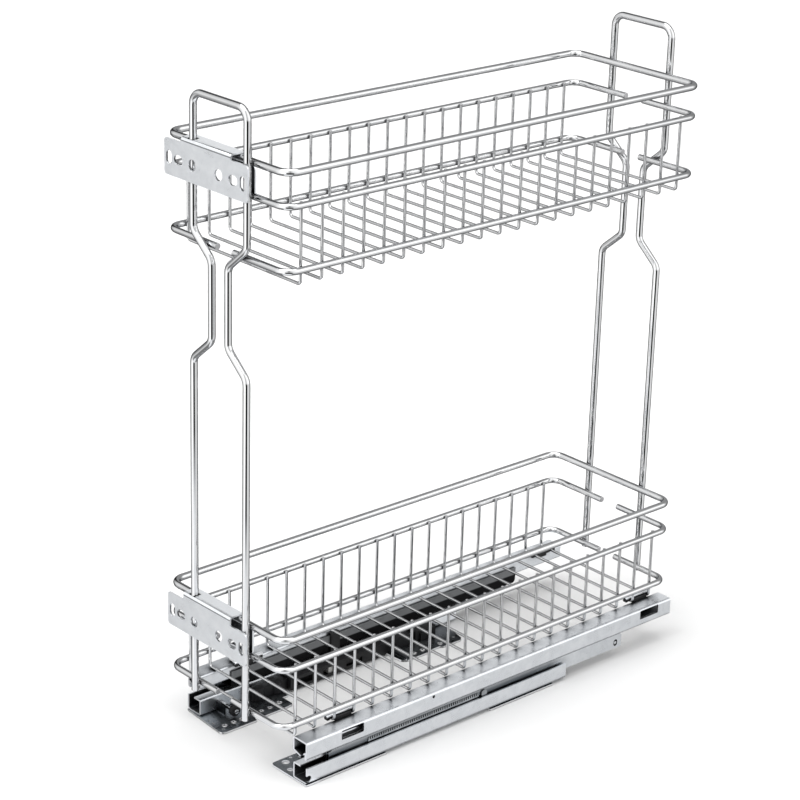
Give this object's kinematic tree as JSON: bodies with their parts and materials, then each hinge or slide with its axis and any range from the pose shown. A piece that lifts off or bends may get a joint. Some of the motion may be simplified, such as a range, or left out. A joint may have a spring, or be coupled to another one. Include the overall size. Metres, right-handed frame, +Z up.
{
  "type": "pull-out cabinet basket",
  "caption": "Narrow two-tier wire basket pull-out with end frames, door brackets and full-extension soft-close floor runners for a narrow base cabinet.",
  "frame": {"origin": "middle of the unit's outline on the cabinet floor", "axes": "-Y towards the cabinet door, +X the side of the unit to the right when seen from the door, +Z up"},
  "size_m": [0.1598, 0.4573, 0.546],
  "materials": {
    "chrome_wire": "bright chrome plated wire",
    "zinc_sheet": "bright zinc plated sheet",
    "zinc_profile": "satin zinc plated cold rolled sheet",
    "dark_zinc": "dark passivated zinc, slightly oily",
    "dark_plastic": "dark grey satin plastic",
    "black_plastic": "black moulded plastic",
    "light_plastic": "light grey acetal",
    "cage_plastic": "natural acetal",
    "polished_steel": "polished hardened steel",
    "spring_steel": "spring steel wire",
    "rubber": "black rubber"
  },
  "bodies": {
    "base": {"left_fixed_profile": "zinc_profile", "right_fixed_profile": "zinc_profile", "left_front_plate": "dark_zinc", "right_front_plate": "dark_zinc", "left_rear_plate": "dark_zinc", "right_rear_plate": "dark_zinc", "left_closer_housing": "black_plastic", "right_closer_housing": "black_plastic", "left_damper_cylinder": "black_plastic", "right_damper_cylinder": "black_plastic", "left_closing_spring": "chrome_wire", "right_closing_spring": "chrome_wire"},
    "carriage": {"front_frame": "chrome_wire", "rear_frame": "chrome_wire", "upper_top_ring": "chrome_wire", "upper_mid_rail_left": "chrome_wire", "upper_mid_rail_right": "chrome_wire", "upper_low_rail_left": "chrome_wire", "upper_low_rail_right": "chrome_wire", "upper_cross_wires": "chrome_wire", "lower_top_ring": "chrome_wire", "lower_mid_rail_left": "chrome_wire", "lower_mid_rail_right": "chrome_wire", "lower_low_rail_left": "chrome_wire", "lower_low_rail_right": "chrome_wire", "lower_cross_wires": "chrome_wire", "upper_door_bracket": "zinc_sheet", "lower_door_bracket": "zinc_sheet", "left_moving_profile": "zinc_profile", "right_moving_profile": "zinc_profile", "left_rail_clips": "black_plastic", "right_rail_clips": "black_plastic", "left_clip_bars": "zinc_sheet", "right_clip_bars": "zinc_sheet", "left_trigger_arm": "black_plastic", "right_trigger_arm": "black_plastic"},
    "left_middle": {"left_middle_profile": "zinc_profile", "left_race_cover": "dark_plastic", "left_front_buffer": "rubber", "left_index_strip": "zinc_sheet"},
    "left_low_cage": {"left_lower_cage": "cage_plastic", "left_lower_balls": "polished_steel"},
    "left_top_cage": {"left_upper_cage": "cage_plastic", "left_upper_balls": "polished_steel"},
    "left_catch": {"left_catch_slider": "light_plastic", "left_piston_rod": "polished_steel"},
    "left_adjuster": {"left_adjusting_wheel": "dark_zinc", "left_adjusting_spindle": "polished_steel"},
    "right_middle": {"right_middle_profile": "zinc_profile", "right_race_cover": "dark_plastic", "right_front_buffer": "rubber", "right_index_strip": "zinc_sheet"},
    "right_low_cage": {"right_lower_cage": "cage_plastic", "right_lower_balls": "polished_steel"},
    "right_top_cage": {"right_upper_cage": "cage_plastic", "right_upper_balls": "polished_steel"},
    "right_catch": {"right_catch_slider": "light_plastic", "right_piston_rod": "polished_steel"},
    "right_adjuster": {"right_adjusting_wheel": "dark_zinc", "right_adjusting_spindle": "polished_steel"}
  },
  "joints": [
    {"name": "carriage_pull", "type": "slide", "parent": "base", "child": "carriage", "axis": [0, -1, 0], "range_m": [0, 0.4]},
    {"name": "left_middle_slide", "type": "slide", "parent": "base", "child": "left_middle", "axis": [0, -1, 0], "range_m": [0, 0.2]},
    {"name": "left_low_cage_slide", "type": "slide", "parent": "base", "child": "left_low_cage", "axis": [0, -1, 0], "range_m": [0, 0.1]},
    {"name": "left_top_cage_slide", "type": "slide", "parent": "base", "child": "left_top_cage", "axis": [0, -1, 0], "range_m": [0, 0.3]},
    {"name": "left_catch_slide", "type": "slide", "parent": "base", "child": "left_catch", "axis": [0, -1, 0], "range_m": [0, 0.038]},
    {"name": "left_adjuster_turn", "type": "hinge", "parent": "base", "child": "left_adjuster", "pos_m": [-0.0445, -0.177, 0.0076], "axis": [1, 0, 0], "continuous": true},
    {"name": "right_middle_slide", "type": "slide", "parent": "base", "child": "right_middle", "axis": [0, -1, 0], "range_m": [0, 0.2]},
    {"name": "right_low_cage_slide", "type": "slide", "parent": "base", "child": "right_low_cage", "axis": [0, -1, 0], "range_m": [0, 0.1]},
    {"name": "right_top_cage_slide", "type": "slide", "parent": "base", "child": "right_top_cage", "axis": [0, -1, 0], "range_m": [0, 0.3]},
    {"name": "right_catch_slide", "type": "slide", "parent": "base", "child": "right_catch", "axis": [0, -1, 0], "range_m": [0, 0.038]},
    {"name": "right_adjuster_turn", "type": "hinge", "parent": "base", "child": "right_adjuster", "pos_m": [0.0445, -0.177, 0.0076], "axis": [1, 0, 0], "continuous": true}
  ],
  "couplings": [
    {"joint": "left_middle_slide", "follows": "carriage_pull", "ratio": 0.5},
    {"joint": "left_low_cage_slide", "follows": "carriage_pull", "ratio": 0.25},
    {"joint": "left_top_cage_slide", "follows": "carriage_pull", "ratio": 0.75},
    {"joint": "right_middle_slide", "follows": "carriage_pull", "ratio": 0.5},
    {"joint": "right_low_cage_slide", "follows": "carriage_pull", "ratio": 0.25},
    {"joint": "right_top_cage_slide", "follows": "carriage_pull", "ratio": 0.75}
  ]
}
